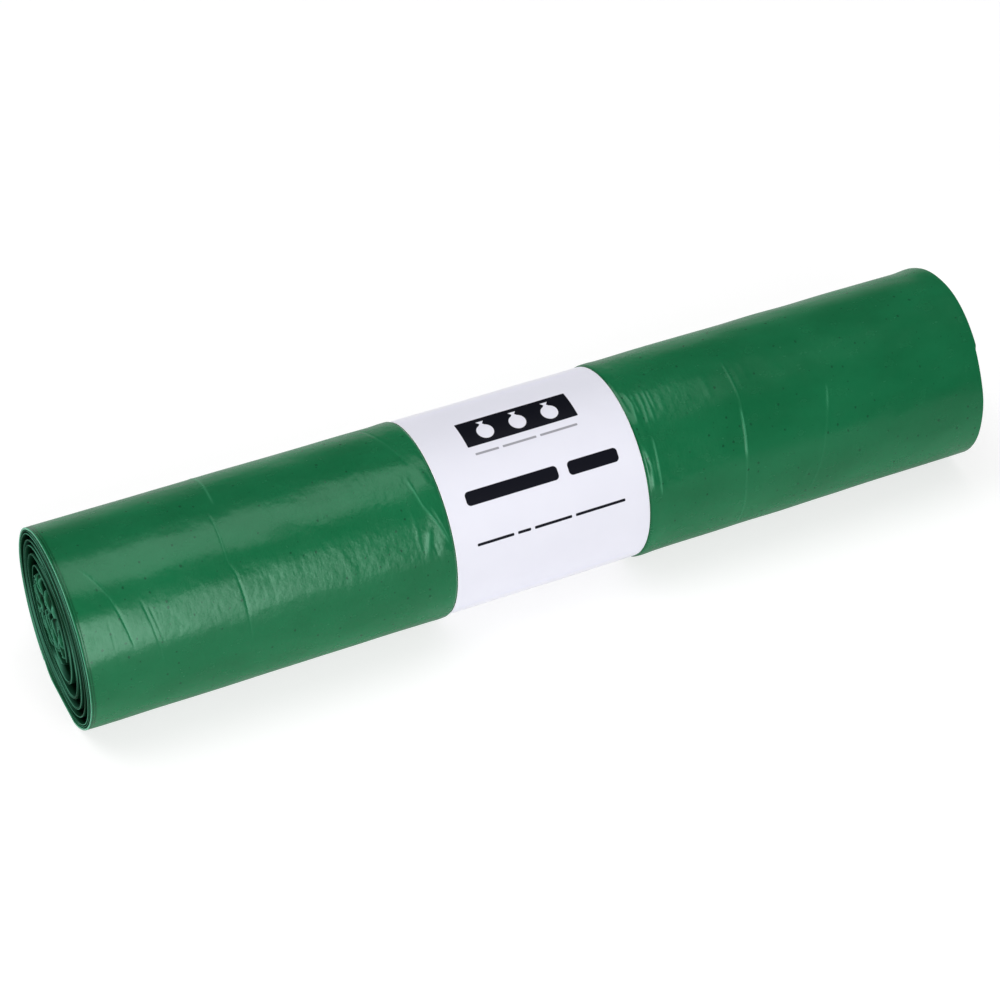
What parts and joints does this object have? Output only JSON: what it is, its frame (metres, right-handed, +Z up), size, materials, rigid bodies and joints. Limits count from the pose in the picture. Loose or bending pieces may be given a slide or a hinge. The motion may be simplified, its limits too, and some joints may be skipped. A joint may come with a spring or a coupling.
{
  "type": "bin bag roll",
  "caption": "Coreless roll of folded green plastic film bin bags, lying on its side and held round the middle by a plain pale paper band.",
  "frame": {"origin": "on the floor under the middle of the roll's length: the centre of the bottom of its bounding box", "axes": "+X along the roll's axis, +Z up, -Y towards the side that the picture shows"},
  "size_m": [0.35, 0.0724, 0.0702],
  "materials": {
    "film": "satin green recycled polyethylene film with fine creases",
    "paper": "smooth pale coated paper with dark printed shapes"
  },
  "bodies": {
    "root": {"bag_roll": "film", "paper_band": "paper"}
  },
  "joints": []
}
